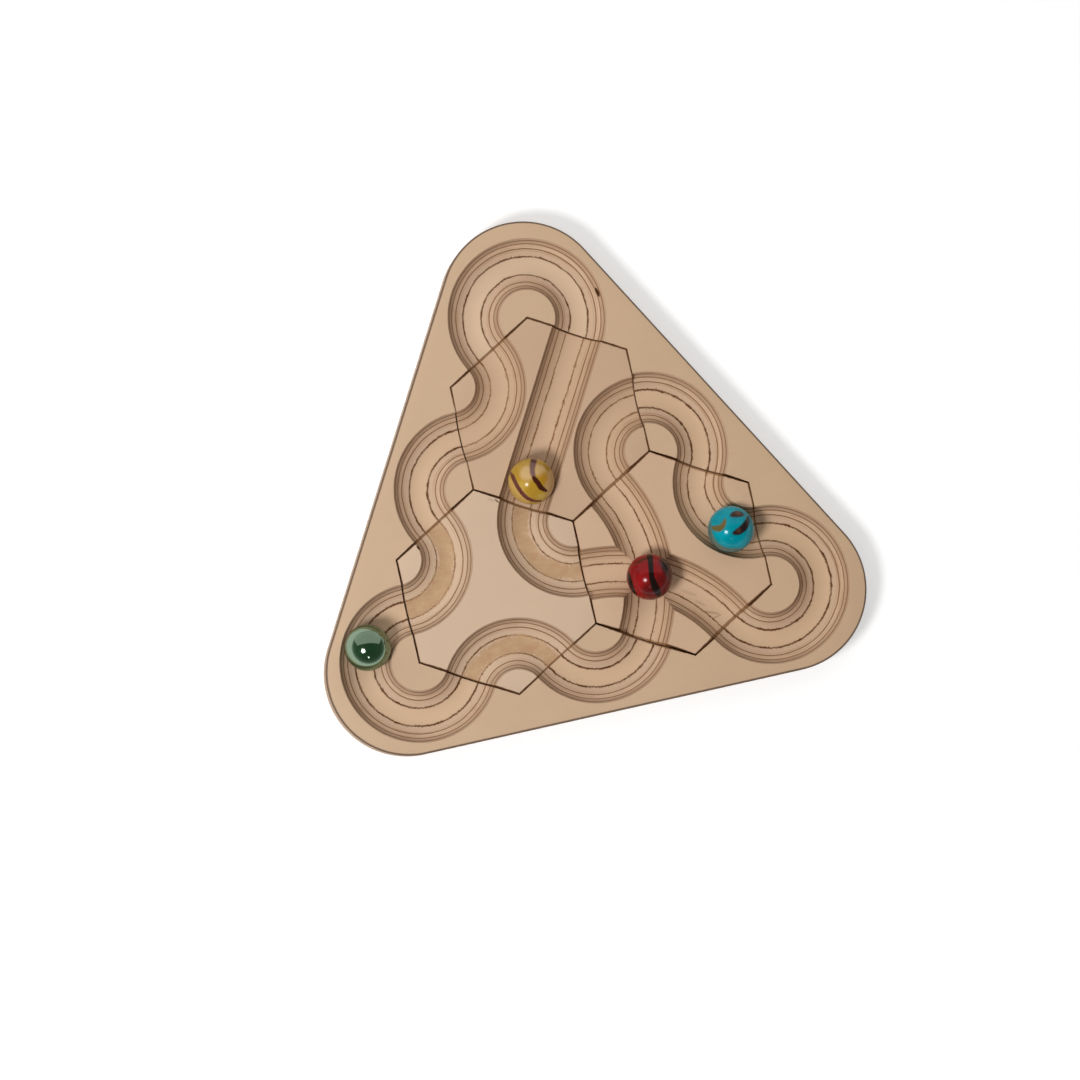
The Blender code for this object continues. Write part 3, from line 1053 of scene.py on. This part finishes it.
lay_tile(
    "straight",
    STRAIGHT_TILE,
    [tile_bend(STRAIGHT_TILE, 150), tile_bend(STRAIGHT_TILE, -30), run_cutter(STRAIGHT_TILE, 60)],
    face_extras=(0.53, 0.48, 0.42, 0.54, 0.14, 0.2),
    foot_extras=(0.3, 0.22, 0.5, 0.16, 0.26, 0.28),
    face=shade(201, 170, 142),
    floor_tint=1.04,
    torn=shade(134, 94, 56),
)
lay_tile(
    "three_bend",
    THREE_BEND_TILE,
    [tile_bend(THREE_BEND_TILE, corner) for corner in (150, 30, -90)],
    face_extras=(0.18, 0.12, 0.26, 0.24, 0.34, 0.48),
    foot_extras=(0.06, 0.2, 0.5, 0.08, 0.12, 0.5),
    face=shade(211, 184, 158),
    floor_tint=1.0,
    torn=shade(112, 72, 36),
    stain=shade(184, 149, 112),
    chips=THREE_BEND_CHIPS,
)
lay_tile(
    "crossing",
    CROSSING_TILE,
    [
        tile_bend(CROSSING_TILE, 30),
        bend_cutter(THREE_BEND_TILE, SWEEP_RADIUS, SWEEP_STEPS),
        bend_cutter(at_angle(270, 2 * HEX_SIDE), SWEEP_RADIUS, SWEEP_STEPS),
    ],
    face_extras=(0.52, 0.16, 0.24, 0.14, 0.04, 0.34),
    foot_extras=(0.42, 0.34, 0.28, 0.1, 0.26, 0.52),
    face=shade(208, 176, 147),
    floor_tint=1.02,
    torn=shade(108, 68, 32),
    chips=CROSSING_CHIPS,
)

# Each marble's colour, its finish and the number that sets its unevenness apart.
MARBLES = (
    ("yellow", yellow_swirl, 0.4),
    ("red", red_swirl, 1.9),
    ("turquoise", turquoise_swirl, 3.3),
    ("green", green_lustre, 5.1),
)
for colour_name, swirl, seed in MARBLES:
    node_name = "marble_" + colour_name
    low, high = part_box(node_name)
    marble_radius = (high.z - low.z) / 2
    marble = glass_marble(colour_name + "_glass_marble", (low + high) / 2, marble_radius, seed)
    swirl(marble, marble_radius)
    settle(marble, node_name, node_name)


# The studio: white floor, key lamp from the left, broad window, overhead lamp, small glint, soft surround

FLOOR_HALF_SIZE = 3.0
FLOOR_HEIGHT = -0.0002
FLOOR_GLOW = 0.46

# Light of the surround by height, from level at 0 to straight up at 1.
SURROUND_LIGHT = ((0.0, 0.95), (0.14, 0.2), (0.4, 0.06), (1.0, 0.03))


def white_floor():
    """A wide pale floor, whose glow shows to the camera and in the glass but lights no piece."""
    made = bmesh.new()
    corners = []
    for x, y in ((-1, -1), (1, -1), (1, 1), (-1, 1)):
        corners.append(made.verts.new((x * FLOOR_HALF_SIZE, y * FLOOR_HALF_SIZE, FLOOR_HEIGHT)))
    made.faces.new(corners)
    floor = mesh_object("white_floor", made)
    paint = Finish("white_floor_paint")
    speck = paint.grain(paint.scaled(paint.coordinate("Object"), 1 / MM), 0.02)
    paint.colour = paint.ramp(speck, [(0.0, grey(0.66)), (1.0, grey(0.68))])
    seen = paint.node("ShaderNodeLightPath", {}, {}, "Is Camera Ray")
    for ray in ("Is Glossy Ray", "Is Transmission Ray"):
        seen = seen.most(paint.node("ShaderNodeLightPath", {}, {}, ray))
    paint.put_on(floor, {
        "Roughness": 0.9,
        "Specular IOR Level": 0.1,
        "Emission Color": paint.mixed(seen, grey(0), grey(1)),
        "Emission Strength": FLOOR_GLOW,
    })


def lamp(name, azimuth, elevation, distance, size, watts, width=None, mirrored=True):
    """An area lamp aimed at the board from a direction, seen in the glass or not."""
    data = bpy.data.lights.new(name, "AREA")
    data.shape = "RECTANGLE" if width else "DISK"
    data.size = width or size
    if width:
        data.size_y = size
    data.energy = watts
    lit = bpy.data.objects.new(name, data)
    rise = math.radians(elevation)
    direction = at_angle(azimuth, math.cos(rise)) + Vector((0, 0, math.sin(rise)))
    lit.location = direction * distance
    lit.rotation_mode = "QUATERNION"
    lit.rotation_quaternion = direction.to_track_quat("Z", "Y")
    lit.visible_camera = False
    lit.visible_glossy = mirrored
    bpy.context.scene.collection.objects.link(lit)


def soft_surround():
    """A pale studio that is bright near the horizon and dimmer overhead."""
    world = bpy.data.worlds.new("soft_surround")
    bpy.context.scene.world = world
    sky = NodeTree(world)
    height = sky.axis(sky.coordinate("Generated"), "Z")
    light = sky.ramp(height, [(place, grey(level)) for place, level in SURROUND_LIGHT])
    background = sky.node("ShaderNodeBackground", {}, {"Color": light})
    sky.node("ShaderNodeOutputWorld", {}, {"Surface": background})


def photo_camera():
    """The camera at the photograph's angle."""
    data = bpy.data.cameras.new("photo_camera")
    data.lens = CAMERA_LENS
    data.sensor_width = SENSOR_WIDTH
    camera = bpy.data.objects.new("photo_camera", data)
    bpy.context.scene.collection.objects.link(camera)
    turn = Matrix((PHOTO_RIGHT, PHOTO_UP, PHOTO_TOWARDS)).transposed()
    camera.rotation_mode = "QUATERNION"
    camera.rotation_quaternion = turn.to_quaternion()
    sidestep = PHOTO_RIGHT * CAMERA_SIDESTEP + PHOTO_UP * CAMERA_RISE
    camera.location = sidestep + PHOTO_TOWARDS * CAMERA_DISTANCE
    return camera


white_floor()
lamp("key_lamp", azimuth=202, elevation=56, distance=1.4, size=0.36, watts=12.4)
lamp("window_lamp", azimuth=82, elevation=39, distance=1.8, size=2.2, watts=26.0, width=6.0)
lamp(
    "overhead_lamp", azimuth=180, elevation=80, distance=1.5, size=1.4, watts=4.4, width=1.4,
    mirrored=False,
)
lamp("glint_lamp", azimuth=257, elevation=38, distance=1.4, size=0.1, watts=0.5)
soft_surround()
bpy.context.scene.camera = photo_camera()
bpy.context.scene.view_settings.view_transform = "Standard"

bpy.context.view_layer.update()
